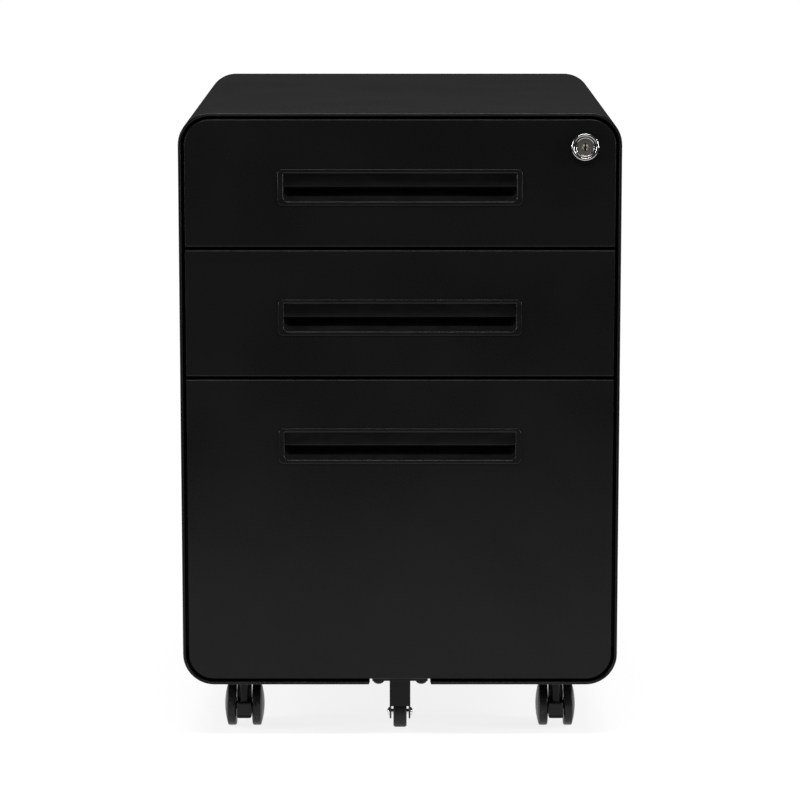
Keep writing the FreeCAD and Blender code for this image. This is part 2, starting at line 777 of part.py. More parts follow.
# ------------------------------------------------------------------------------------ fifth wheel
def fifth_bracket():
    """Plate under the file drawer's front with a fork that holds the fifth wheel."""
    outer = fork_width / 2
    plate = block(-fifth_plate_half, fifth_plate_half, fifth_plate_front, fifth_plate_back, bridge,
                  fronts_bottom)
    apron = block(-outer, outer, fork_front, fork_front + fork_sheet, fork_front_bottom, bridge)
    d = fifth_depth
    z = fifth_z
    r = fork_ear_radius
    x = outer - fork_sheet
    corners = [vec(x, back(fork_front), bridge), vec(x, back(fork_back), bridge), vec(x, back(d + r), z)]
    bottom = Part.Arc(corners[2], vec(x, back(d), z - r), vec(x, back(d - r), z)).toShape()
    rise = [vec(x, back(d - r), z), vec(x, back(fork_front), fork_front_bottom), corners[0]]
    wire = Part.Wire([Part.makeLine(corners[0], corners[1]), Part.makeLine(corners[1], corners[2]), bottom,
                      Part.makeLine(rise[0], rise[1]), Part.makeLine(rise[1], rise[2])])
    ear = Part.Face(wire).extrude(vec(fork_sheet, 0, 0))
    shape = plate.fuse([apron] + both_sides(ear))
    tools = [drill(-outer, d, z, axle_radius, fork_width, vec(1, 0, 0))]
    for sign in (-1, 1):
        tools.append(drill(sign * fifth_bolt_spacing / 2, fifth_bolt_depth, bridge,
                           fifth_bolt_radius + screw_clearance, fifth_plate_thickness, vec(0, 0, 1)))
    return cut_all(shape, tools)


def fifth_axle():
    """Rivet through the fork, with a head on each side."""
    outer = fork_width / 2
    pin = rod(-outer, fifth_depth, fifth_z, axle_radius, fork_width, vec(1, 0, 0))
    heads = []
    for sign in (-1, 1):
        heads.append(rod(sign * outer, fifth_depth, fifth_z, rivet_head_radius, rivet_head_height,
                         vec(sign, 0, 0)))
    return pin.fuse(heads)


def fifth_wheel():
    half = fifth_width / 2
    y = back(fifth_depth)
    wheel = Part.makeCylinder(fifth_radius, fifth_width, vec(-half, y, fifth_z), vec(1, 0, 0))
    rims = [edge for edge in wheel.Edges if edge.BoundBox.XLength < whole]
    wheel = wheel.makeFillet(fifth_edge_radius, rims)
    return wheel.cut(drill(-half, fifth_depth, fifth_z, axle_radius + running_clearance, fifth_width,
                           vec(1, 0, 0)))


def fifth_bolts():
    """Two domed bolts from below, each with a nut inside the drawer front."""
    pieces = []
    seat = fronts_bottom + front_sheet
    for sign in (-1, 1):
        x = sign * fifth_bolt_spacing / 2
        head = rod(x, fifth_bolt_depth, bridge, fifth_bolt_head_radius, fifth_bolt_head_height, vec(0, 0, -1))
        shank = rod(x, fifth_bolt_depth, bridge, fifth_bolt_radius, seat - bridge + fifth_nut_height + fifth_bolt_tip,
                    vec(0, 0, 1))
        nut = hexagon(vec(x, back(fifth_bolt_depth), seat), fifth_nut_across, fifth_nut_height, False)
        hole = drill(x, fifth_bolt_depth, seat, fifth_bolt_radius + screw_clearance, fifth_nut_height,
                     vec(0, 0, 1))
        pieces += [head.fuse(shank), nut.cut(hole)]
    return pieces


# ------------------------------------------------------------------------------------ the whole object
def build():
    drawers = make_drawers()
    save("outer_casing", [outer_casing()])
    save("back_panel", [back_panel()])
    save("back_panel_screws", back_screws())
    for place, start in (("front", front_upright_start), ("rear", rear_upright_start)):
        save("uprights_" + place, both_sides(upright(start, drawers)))
    rail = caster_rail()
    save("caster_rail_right", [rail])
    save("caster_rail_left", [mirrored(rail)])
    save("slide_screws", slide_screws(drawers))
    for drawer in drawers:
        save("slides_outer_" + drawer.name, both_sides(outer_slide(drawer)))
        save("slides_middle_" + drawer.name, both_sides(middle_slide(drawer)))
        save("slides_inner_" + drawer.name, both_sides(inner_slide(drawer)))
        save("drawer_front_" + drawer.name, [drawer_front(drawer)])
        save("drawer_box_" + drawer.name, [drawer_box(drawer)])
        save("pull_cup_" + drawer.name, [pull_cup(drawer)])
        save("drawer_screws_" + drawer.name, drawer_screws(drawer))
    save("file_rails", file_rails(drawers[2]))
    save("lock_barrel", [lock_barrel()])
    save("lock_plug", [lock_plug()])
    save("lock_tail", [lock_tail()])
    save("lock_nut", [lock_nut()])
    save("lock_bar", [lock_bar(drawers)])
    save("lock_bar_guides", lock_bar_guides(drawers))
    save("caster_stems", caster_stems())
    save("caster_nuts", caster_nuts())
    for corner, x, d in stem_places():
        save("caster_body_" + corner, [caster_body(x, d)])
        save("caster_axle_" + corner, [caster_axle(x, d)])
        save("caster_wheel_" + corner + "_a", [caster_wheel(x, d, -1)])
        save("caster_wheel_" + corner + "_b", [caster_wheel(x, d, 1)])
    save("fifth_wheel_bracket", [fifth_bracket()])
    save("fifth_wheel_axle", [fifth_axle()])
    save("fifth_wheel", [fifth_wheel()])
    save("fifth_wheel_bolts", fifth_bolts())


build()
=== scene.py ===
# %% [markdown]
# # A wheeled steel pedestal, rebuilt piece by piece
# The object is an office pedestal: a folded sheet-steel casing, three drawers, a lock, four casters and a
# small fifth wheel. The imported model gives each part's exact place, so every piece here is built straight
# from those boxes. Sheet metal is thin walls with small bends, and those bends catch the light, so most
# pieces are skinned from rings of points that follow the bend, which keeps every radius a real one.

# %% The frame
import bmesh
import bpy
import json
import math
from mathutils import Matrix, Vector


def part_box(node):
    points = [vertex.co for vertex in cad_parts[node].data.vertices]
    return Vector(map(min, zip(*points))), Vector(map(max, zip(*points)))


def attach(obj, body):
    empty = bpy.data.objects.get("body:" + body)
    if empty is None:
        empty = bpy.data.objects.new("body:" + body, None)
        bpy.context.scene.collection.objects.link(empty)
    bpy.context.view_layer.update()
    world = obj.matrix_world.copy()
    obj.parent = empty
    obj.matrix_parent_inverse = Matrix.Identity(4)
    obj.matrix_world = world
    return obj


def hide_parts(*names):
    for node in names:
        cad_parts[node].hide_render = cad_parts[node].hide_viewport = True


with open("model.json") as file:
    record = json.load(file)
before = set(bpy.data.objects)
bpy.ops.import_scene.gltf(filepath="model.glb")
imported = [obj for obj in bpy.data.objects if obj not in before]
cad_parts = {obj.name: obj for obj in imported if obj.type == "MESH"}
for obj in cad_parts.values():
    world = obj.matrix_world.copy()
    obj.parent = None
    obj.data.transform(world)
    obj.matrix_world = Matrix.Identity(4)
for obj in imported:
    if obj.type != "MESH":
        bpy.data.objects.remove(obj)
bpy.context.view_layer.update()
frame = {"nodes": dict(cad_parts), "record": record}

nodes = frame["nodes"]

# %% [markdown]
# ## Places
# Everything is measured from a few boxes. Depths count from the front edge of the casing towards the back.

# %% Places and sheet sizes
MM = 0.001
casing_lo, casing_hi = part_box("outer_casing")
DRAWERS = ("top", "middle", "bottom")
CORNERS = ("front_left", "front_right", "rear_left", "rear_right")
CORNER_RADIUS = 28 * MM
RIM = 2.5 * MM            # folded front edge of the casing
SHEET = 1.2 * MM
FACE = 0.5 * MM           # depth of the drawer fronts' faces
PAN_BACK = 18.5 * MM      # depth of the back of a drawer front


def at(depth):
    """Y of a depth behind the casing's front edge."""
    return casing_lo.y + depth


print("casing", round(casing_hi.x - casing_lo.x, 4), "wide,", round(casing_hi.z - casing_lo.z, 4), "high")

# %% [markdown]
# ## Rings and skins
# A folded sheet has the same outline all along its section: only its inset and its depth change. So a piece
# is a list of rings with equal numbers of points, and a skin of quads joins each ring to the next one.
# The same skin makes turned parts, with circles for rings.

# %% Ring helpers
def rounded_ring(x0, x1, z0, z1, depth, top_radius, bottom_radius, steps=8):
    """Rounded rectangle at a depth, anticlockwise seen from the front."""
    corners = ((x1, z1, -1, -1, top_radius, 0), (x0, z1, 1, -1, top_radius, 90),
               (x0, z0, 1, 1, bottom_radius, 180), (x1, z0, -1, 1, bottom_radius, 270))
    points = []
    for x, z, in_x, in_z, radius, start in corners:
        for i in range(steps + 1):
            a = math.radians(start + 90 * i / steps)
            points.append(Vector((x + in_x * radius + radius * math.cos(a), at(depth),
                                  z + in_z * radius + radius * math.sin(a))))
    return points


def skin(rings, closed=False, first_cap=False, last_cap=False):
    """Vertices and faces of a tube through rings; closed joins the last ring to the first."""
    count = len(rings[0])
    points = [p for ring in rings for p in ring]
    faces = []
    for a in range(len(rings) - (0 if closed else 1)):
        b = (a + 1) % len(rings)
        for i in range(count):
            j = (i + 1) % count
            faces.append((a * count + i, a * count + j, b * count + j, b * count + i))
    if first_cap:
        faces.append(tuple(range(count)))
    if last_cap:
        faces.append(tuple(range((len(rings) - 1) * count, len(rings) * count)))
    return points, faces


def solid(rings):
    """Skin with both its ends closed."""
    return skin(rings, first_cap=True, last_cap=True)


def quarter(radius, steps=4):
    """Steps round a quarter bend: how far across it, and how far along it."""
    angles = [math.radians(90 * i / steps) for i in range(steps + 1)]
    return [(radius * (1 - math.cos(a)), radius * (1 - math.sin(a))) for a in angles]


def turned(profile, centre, axis, steps=64):
    """Rings of a lathe profile: (radius, distance along the axis) from the centre."""
    axis = Vector(axis)
    side = Vector((0, 0, 1)) if abs(axis.z) < 0.5 else Vector((1, 0, 0))
    other = axis.cross(side)
    rings = []
    for radius, along in profile:
        rings.append([centre + axis * along
                      + side * (radius * math.cos(2 * math.pi * i / steps))
                      + other * (radius * math.sin(2 * math.pi * i / steps)) for i in range(steps)])
    return rings


print("a quarter bend of 1.8 mm:", [(round(a / MM, 2), round(b / MM, 2)) for a, b in quarter(1.8 * MM)])

# %% [markdown]
# ## From skins to pieces
# Several skins can make one piece. Doubles are merged first, so that the normals can be turned outwards all
# over, and faces are smooth except over real edges. Weighted normals keep flat sheets flat next to bends.

# %% Making and settling a piece
SAME_POINT = 0.5e-6       # corners nearer than this are one corner
CAD_SAME_POINT = 2e-6     # the same for carried-over parts, whose triangles are loose


def bake(piece):
    """Replaces a piece's mesh with what its modifiers make of it."""
    graph = bpy.context.evaluated_depsgraph_get()
    mesh = bpy.data.meshes.new_from_object(piece.evaluated_get(graph))
    piece.modifiers.clear()
    piece.data = mesh
    return piece


def settle(piece, sharp=32):
    """Smooth shading with sharp edges above an angle, and flat sheets kept flat."""
    mesh = piece.data
    mesh.shade_smooth()
    mesh.set_sharp_from_angle(angle=math.radians(sharp))
    weight = piece.modifiers.new("flat", "WEIGHTED_NORMAL")
    weight.keep_sharp = True
    return bake(piece)


def make_piece(name, skins):
    """One object from several (points, faces) skins, merged, with its faces turned outwards."""
    mesh = bpy.data.meshes.new(name)
    points, faces = [], []
    for skin_points, skin_faces in skins:
        start = len(points)
        points += skin_points
        faces += [tuple(start + i for i in face) for face in skin_faces]
    mesh.from_pydata(points, [], faces)
    work = bmesh.new()
    work.from_mesh(mesh)
    bmesh.ops.remove_doubles(work, verts=work.verts, dist=SAME_POINT)
    bmesh.ops.recalc_face_normals(work, faces=work.faces)
    work.to_mesh(mesh)
    work.free()
    piece = bpy.data.objects.new(name, mesh)
    bpy.context.scene.collection.objects.link(piece)
    return piece


def combine(piece, operation, others):
    """Exact booleans of a piece with others, which are used up."""
    for other in others:
        step = piece.modifiers.new("combine", "BOOLEAN")
        step.operation, step.solver, step.object = operation, "EXACT", other
    bake(piece)
    for other in others:
        bpy.data.objects.remove(other)
    return piece


def cut(piece, *cutters):
    """Takes cutters away from a piece."""
    return combine(piece, "DIFFERENCE", cutters)


def join(piece, *added):
    """Makes a piece and others one solid."""
    return combine(piece, "UNION", added)


def dress(piece, body, slot, *replaced):
    """The finish of a record slot, the body the piece rides on, and the CAD nodes it stands for."""
    piece.data.materials.clear()
    piece.data.materials.append(finishes[slot])
    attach(piece, body)
    if replaced:
        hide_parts(*replaced)
    print(piece.name, len(piece.data.polygons), "faces")
    return piece


print("corners merge within", SAME_POINT / MM, "mm, on carried-over parts within", CAD_SAME_POINT / MM, "mm")

# %% [markdown]
# ## Finishes
# Shader maths reads best as plain expressions, so a small class wraps a socket and adds a Math node for each
# operator. Anything else, such as a noise or a colour mix, comes from one method of the finish.

# %% A small language for finishes
class Value:
    """A number that changes over the surface."""

    def __init__(self, finish, socket):
        self.finish, self.socket = finish, socket

    def _with(self, operation, first, second):
        return self.finish.node("ShaderNodeMath", {"operation": operation}, {0: first, 1: second})

    def __add__(self, other): return self._with("ADD", self, other)
    def __radd__(self, other): return self._with("ADD", other, self)
    def __sub__(self, other): return self._with("SUBTRACT", self, other)
    def __rsub__(self, other): return self._with("SUBTRACT", other, self)
    def __mul__(self, other): return self._with("MULTIPLY", self, other)
    def __rmul__(self, other): return self._with("MULTIPLY", other, self)


class Finish:
    """One procedural finish: constants sit on the shader, and what changes is linked to it."""

    def __init__(self, name, **constants):
        self.material = bpy.data.materials.new(name)
        self.material.use_nodes = True
        self.tree = self.material.node_tree
        self.shader = self.tree.nodes["Principled BSDF"]
        for key, value in constants.items():
            self.shader.inputs[key.replace("_", " ")].default_value = value
        self.place = self.node("ShaderNodeTexCoord", out="Object")

    def node(self, kind, settings=None, sockets=None, out=0):
        """Adds a node: settings first, then the values or links of its sockets."""
        made = self.tree.nodes.new(kind)
        for key, value in (settings or {}).items():
            setattr(made, key, value)
        for key, value in (sockets or {}).items():
            socket = made.inputs[key] if isinstance(key, int) else self.find(made.inputs, key)
            if isinstance(value, Value):
                self.tree.links.new(value.socket, socket)
            else:
                socket.default_value = value
        return Value(self, made.outputs[out] if isinstance(out, int) else self.find(made.outputs, out))

    def find(self, sockets, key):
        return next(s for s in sockets if key in (s.identifier, s.name))

    def noise(self, scale, detail=3.0, rough=0.5, squash=(1, 1, 1), offset=(0, 0, 0)):
        """Cloudy noise from 0 to 1; scale counts per metre."""
        spot = self.node("ShaderNodeMapping", None, {"Scale": squash, "Location": offset,
                                                     "Vector": self.place})
        return self.node("ShaderNodeTexNoise", {"noise_dimensions": "3D"},
                         {"Vector": spot, "Scale": scale, "Detail": detail, "Roughness": rough})

    def cells(self, scale):
        """Distance to scattered points; scale counts per metre."""
        return self.node("ShaderNodeTexVoronoi", {"feature": "F1"},
                         {"Vector": self.place, "Scale": scale}, "Distance")

    def ramp(self, value, low, high, to_low=0.0, to_high=1.0):
        """Eased step from low to high."""
        return self.node("ShaderNodeMapRange", {"interpolation_type": "SMOOTHSTEP"},
                         {"Value": value, "From Min": low, "From Max": high, "To Min": to_low,
                          "To Max": to_high})

    def blend(self, mask, first, second):
        """Colour between two, by a mask."""
        return self.node("ShaderNodeMix", {"data_type": "RGBA"},
                         {"Factor_Float": mask, "A_Color": first, "B_Color": second}, "Result_Color")

    def feed(self, name, value):
        self.tree.links.new(value.socket, self.shader.inputs[name])

    def bump(self, height, distance, strength=1.0):
        """Relief of a height from 0 to 1, that stands a distance tall in metres."""
        self.feed("Normal", self.node("ShaderNodeBump", None, {"Height": height, "Distance": distance,
                                                              "Strength": strength}))


def two_tones(shade, darker, lighter):
    """A darker and a lighter colour round a shade, neither past white."""
    return [(*[min(c * s, 1) for c in shade], 1) for s in (darker, lighter)]


finishes = {}
print("the finish language has", len([m for m in dir(Value) if m.startswith("__r")]), "reflected forms")

# %% [markdown]
# ### Powder coat
# The casing and the drawer fronts are coated in black powder, melted in an oven. It flows into a fine orange
# peel with a satin gloss. The sheet under it is never quite flat, which bends reflections slowly, and a
# little dust lies on it.

# %% Powder coat
DUST = (0.09, 0.09, 0.092, 1)


def powder_coat(name, shade, gloss, peel):
    """Coat of a shade, with its roughness and how tall its orange peel stands."""
    coat = Finish(name, IOR=1.5, Specular_IOR_Level=0.14)
    cloud = coat.noise(9, 2)
    grain = coat.noise(620, 3, 0.6)
    speck = coat.ramp(coat.noise(1500, 2, 0.7), 0.66, 0.78)
    dark, light = two_tones(shade, 0.86, 1.12)
    tone = coat.blend(coat.ramp(cloud, 0.3, 0.7), dark, light)
    coat.feed("Base Color", coat.blend(speck * 0.12, tone, DUST))
    coat.feed("Roughness", gloss + (cloud - 0.5) * 0.06 + (grain - 0.5) * 0.08)
    ripple = coat.noise(430, 2, 0.45)
    sag = coat.noise(5, 1)
    coat.bump(ripple * 0.6 + grain * 0.25 + sag * 6, peel)
    return coat.material


finishes["black_powder_coat"] = powder_coat("black_powder_coat", (0.0085, 0.0083, 0.0084), 0.28, 0.04 * MM)
finishes["black_bolt"] = powder_coat("black_bolt", (0.004, 0.004, 0.0042), 0.24, 0.03 * MM)
print("powder coat:", len(finishes["black_powder_coat"].node_tree.nodes), "nodes")

# %% [markdown]
# ### Moulded plastic and rubber
# The pulls have a fine spark-eroded texture from their mould. The casters are harder and shinier, with faint
# flow marks and scuffs near the tread. Rubber is the dullest, and holds dust.

# %% Plastic and rubber
SCUFFED = (0.11, 0.108, 0.105, 1)


def moulded(name, shade, gloss, texture, scuff):
    """Plastic or rubber of a shade, with its roughness, how tall its texture stands and how scuffed it is."""
    plastic = Finish(name, IOR=1.48, Specular_IOR_Level=0.24)
    pits = plastic.noise(1900, 2, 0.6)
    flow = plastic.noise(40, 3, 0.6, squash=(1, 1, 3))
    worn = plastic.ramp(plastic.noise(160, 4, 0.7), 0.56, 0.74)
    dark, light = two_tones(shade, 0.85, 1.18)
    tone = plastic.blend(plastic.ramp(flow, 0.3, 0.7), dark, light)
    plastic.feed("Base Color", plastic.blend(worn * scuff, tone, SCUFFED))
    plastic.feed("Roughness", gloss + (flow - 0.5) * 0.1 + worn * scuff * 0.5)
    plastic.bump(pits + flow * 0.5, texture)
    return plastic.material


for name, shade, gloss, texture, scuff in (
        ("black_pull_plastic", (0.0085, 0.0085, 0.0092), 0.2, 0.006 * MM, 0.0),
        ("caster_plastic", (0.006, 0.006, 0.006), 0.32, 0.015 * MM, 0.1),
        ("wheel_plastic", (0.008, 0.008, 0.0083), 0.36, 0.02 * MM, 0.25),
        ("fifth_wheel_rubber", (0.013, 0.013, 0.013), 0.55, 0.04 * MM, 0.35)):
    finishes[name] = moulded(name, shade, gloss, texture, scuff)
    print(name, len(finishes[name].node_tree.nodes), "nodes")

# %% [markdown]
# ### Metals
# Zinc plate on the slides is satin, with patches where the crystals grew differently and faint rolling lines
# along the strip. Screws are brighter. The lock's head is chrome over a polished ring, and its plug is a
# turned face in satin nickel with fine pits.

# %% Metals
EVEN, ROLLED = (1, 1, 1), (1, 0.04, 1)   # how the fine lines are stretched: not at all, or along the strip


def plated(name, shade, gloss, patch_scale, contrast, relief, stretch):
    """Plated metal of a shade; patch_scale counts crystals per metre, contrast is how much they differ."""
    metal = Finish(name, Metallic=1.0)
    patches = metal.cells(patch_scale)
    lines = metal.noise(900, 3, 0.6, squash=stretch)
    mottle = metal.noise(patch_scale * 0.4, 3)
    dark, light = two_tones(shade, 1 - contrast, 1 + contrast)
    metal.feed("Base Color", metal.blend(metal.ramp(patches * 0.5 + mottle * 0.6, 0.3, 0.8), dark, light))
    metal.feed("Roughness", gloss + (mottle - 0.5) * 0.14 + (lines - 0.5) * 0.1)
    metal.bump(lines * 0.6 + patches * 0.4, relief)
    return metal.material


for name, shade, gloss, patch_scale, contrast, relief, stretch in (
        ("zinc_steel", (0.52, 0.53, 0.55), 0.38, 160, 0.14, 0.01 * MM, ROLLED),
        # Painted shade: the stems' zinc is made near black to stand for the shadow under the casing.
        ("dark_stem", (0.016, 0.016, 0.017), 0.4, 400, 0.15, 0.01 * MM, EVEN),
        ("screw_steel", (0.55, 0.55, 0.56), 0.3, 600, 0.1, 0.008 * MM, EVEN),
        ("bright_rivet", (0.78, 0.78, 0.79), 0.16, 900, 0.06, 0.004 * MM, EVEN),
        ("lock_chrome", (0.5, 0.5, 0.495), 0.14, 2500, 0.03, 0.0002 * MM, EVEN)):
    finishes[name] = plated(name, shade, gloss, patch_scale, contrast, relief, stretch)

RING_RATE = 26000         # radians per metre of the plug's turning marks, about four rings in a millimetre
barrel_lo, barrel_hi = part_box("lock_barrel")
lock_middle = Vector(((barrel_lo.x + barrel_hi.x) / 2, barrel_lo.y, (barrel_lo.z + barrel_hi.z) / 2))


def satin_plug():
    """Turned face: rings round the plug's own middle, and a scatter of pits."""
    metal = Finish("lock_plug_nickel", Metallic=1.0)
    middle = metal.node("ShaderNodeVectorMath", {"operation": "SUBTRACT"},
                        {0: metal.place, 1: tuple(lock_middle)})
    reach = metal.node("ShaderNodeVectorMath", {"operation": "LENGTH"}, {0: middle}, "Value")
    rings = metal.node("ShaderNodeMath", {"operation": "SINE"}, {0: reach * RING_RATE})
    grit = metal.noise(2600, 2, 0.7)
    pits = metal.ramp(grit, 0.6, 0.72)
    metal.feed("Base Color", metal.blend(pits * 0.7, (0.5, 0.46, 0.41, 1), (0.16, 0.15, 0.14, 1)))
    metal.feed("Roughness", 0.36 + rings * 0.04 + pits * 0.2)
    metal.bump(rings * 0.25 + (1 - pits) * 0.5, 0.01 * MM)
    return metal.material


finishes["lock_plug_nickel"] = satin_plug()
print("finishes", sorted(finishes), "lock at", [round(v, 4) for v in lock_middle])

# %% [markdown]
# ### Carried-over parts
# Slides, boxes, rails, nuts and the lock bar keep the imported model's meshes. Each gets the finish that its
# record slot names, before any piece is replaced. The casters' stems are then given a near-black zinc, darker
# than the other zinc parts: a painted shade for the shadow they stand in under the casing.

# %% Finishes on the carried-over parts
slot_of = {part["node"]: part["material_slot"] for part in frame["record"]["subparts"]}
for name, node in nodes.items():
    node.data.materials.clear()
    node.data.materials.append(finishes[slot_of[name]])
# Painted shade: the stems take the near-black zinc in place of their own, for the shadow under the casing.
nodes["caster_stems"].data.materials[0] = finishes["dark_stem"]
print("dressed", len(nodes), "carried-over parts")

# %% [markdown]
# ## Casing
# One strip of sheet is wrapped round top, sides and floor. Its front edge is folded back on itself to a
# round, 2.5 mm thick rim, which is the bright line round the drawers. Its section is drawn once, as insets
# and depths, and every ring has the casing's rounded outline.

# %% Casing
RECESS = 2.3 * MM         # how far the back panel's flange stands inside the rear edge
FLANGE = 14 * MM          # width of that flange
casing_depth = casing_hi.y - casing_lo.y
flange_back = casing_depth - RECESS
flange_front = flange_back - SHEET
flange_inner = SHEET + FLANGE
rim_half = RIM / 2
section = [(0, casing_depth - 0.5 * MM), (0.15 * MM, casing_depth - 0.15 * MM), (0.5 * MM, casing_depth),
           (0.9 * MM, casing_depth), (SHEET, casing_depth - 0.3 * MM), (SHEET, flange_back),
           (flange_inner - 0.3 * MM, flange_back), (flange_inner, flange_back - 0.3 * MM),
           (flange_inner, flange_front), (SHEET + 1.0 * MM, flange_front),
           (SHEET + 0.3 * MM, flange_front - 0.3 * MM), (SHEET, flange_front - 1.0 * MM),
           (SHEET, 14.6 * MM), (SHEET + 0.4 * MM, 14.2 * MM),
           (RIM - 0.3 * MM, 14 * MM), (RIM, 13.7 * MM), (RIM, 8 * MM)]
RIM_STEPS = 12            # points round the folded edge
for i in range(RIM_STEPS + 1):
    a = math.pi * i / RIM_STEPS
    section.append((rim_half + rim_half * math.cos(a), rim_half - rim_half * math.sin(a)))
rings = [rounded_ring(casing_lo.x + i, casing_hi.x - i, casing_lo.z + i, casing_hi.z - i, d,
                      CORNER_RADIUS - i, CORNER_RADIUS - i, 20) for i, d in section]
casing = make_piece("casing_wrap", [skin(rings, closed=True)])

notch_top, notch_foot = 27.2 * MM, 28.1 * MM   # half widths of the notch for the fifth wheel
slant = (notch_foot - notch_top) / RIM
low, high = casing_lo.z - 2 * MM, casing_lo.z + RIM + 1 * MM
notch_rings = []
for depth in (-2 * MM, 48 * MM):
    ring = []
    for side, z in ((-1, low), (1, low), (1, high), (-1, high)):
        half = notch_foot - slant * (z - casing_lo.z)
        ring.append(Vector((side * half, at(depth), z)))
    notch_rings.append(ring)
cut(casing, make_piece("notch", [solid(notch_rings)]))
dress(settle(casing), "casing", "black_powder_coat", "outer_casing")

# %% [markdown]
# ## Back panel
# A flat sheet set into the casing's rear edge, with its own edges eased by the coat, and held by eight
# screws. The screws are one template, set on their places by a node tree below.

# %% Back panel
panel_lo, panel_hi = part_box("back_panel")
panel_front, panel_back = panel_lo.y - casing_lo.y, panel_hi.y - casing_lo.y
panel_radius = CORNER_RADIUS - SHEET - 0.4 * MM
rings = [rounded_ring(panel_lo.x + i, panel_hi.x - i, panel_lo.z + i, panel_hi.z - i, d, panel_radius - i,
                      panel_radius - i, 20)
         for i, d in ((0.3 * MM, panel_front), (0, panel_front + 0.3 * MM), (0, panel_back - 0.3 * MM),
                      (0.1 * MM, panel_back - 0.1 * MM), (0.3 * MM, panel_back))]
panel = make_piece("back_sheet", [solid(rings)])
dress(settle(panel), "casing", "black_powder_coat", "back_panel")

# %% [markdown]
# ## Drawer fronts
# Each front is a pan: a face with a soft bend of 1.8 mm round it, sides that run back 18 mm, and a return
# that the box is screwed to. The bend is what draws the thin bright line just inside each edge. The pull's
# opening and the lock's hole are cut last.

# %% Drawer fronts
BEND = 1.8 * MM
LEAST = 0.25 * MM         # smallest radius a ring's corner may have
LOCK_HOLE = 9.7 * MM      # radius of the hole for the lock


def front_pan(name, outer_radii):
    lo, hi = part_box("drawer_front_" + name)
    box_lo, box_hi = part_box("drawer_box_" + name)
    # box_hi.x takes in the lock's catch as well, so this window is 10 mm wider each side than the CAD's.
    box_half = box_hi.x
    top_radius, bottom_radius = outer_radii

    def pan_ring(inset, depth):
        return rounded_ring(lo.x + inset, hi.x - inset, lo.z + inset, hi.z - inset, depth,
                            max(top_radius - inset, LEAST), max(bottom_radius - inset, LEAST), 14)

    def window_ring(depth):
        side, end = 9 * MM, 4 * MM
        return rounded_ring(-box_half + side, box_half - side, box_lo.z + end, box_hi.z - end, depth,
                            LEAST, LEAST, 14)

    rings = [pan_ring(inset, FACE + drop) for drop, inset in quarter(BEND, 6)]
    rings += [pan_ring(0, PAN_BACK - 0.6 * MM), pan_ring(0.18 * MM, PAN_BACK - 0.18 * MM),
              pan_ring(0.6 * MM, PAN_BACK), window_ring(PAN_BACK), window_ring(PAN_BACK - SHEET),
              pan_ring(SHEET, PAN_BACK - SHEET), pan_ring(SHEET, FACE + BEND),
              pan_ring(BEND, FACE + SHEET)]
    pan = make_piece("front_" + name, [solid(rings)])
    pull_lo, pull_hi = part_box("pull_cup_" + name)
    middle = (pull_lo.z + pull_hi.z) / 2
    half, rise, corner = 104.9 * MM, 15.2 * MM, 1 * MM
    cutters = [make_piece("opening", [solid([rounded_ring(-half, half, middle - rise, middle + rise, d,
                                                          corner, corner, 3) for d in (-3 * MM, 6 * MM)])])]
    if name == "top":
        hole = [(LOCK_HOLE, -5 * MM), (LOCK_HOLE, 30 * MM)]
        cutters.append(make_piece("lock_hole", [solid(turned(hole, lock_middle, (0, 1, 0), 48))]))
    cut(pan, *cutters)
    return dress(settle(pan), "drawer_" + name, "black_powder_coat", "drawer_front_" + name)


front_radius = 23 * MM
plain_radius = 1.2 * MM
front_pan("top", (front_radius, plain_radius))
front_pan("middle", (plain_radius, plain_radius))
front_pan("bottom", (plain_radius, front_radius))

# %% [markdown]
# ## Finger pulls
# A moulded insert: a border that stands 0.8 mm proud with soft edges, a cup whose floor scoops up towards
# the back, and a plate in the upper half that the fingertips hook behind. The gap under the plate is the
# black line across the middle of each pull. Only the lower corners of the opening are generously rounded.

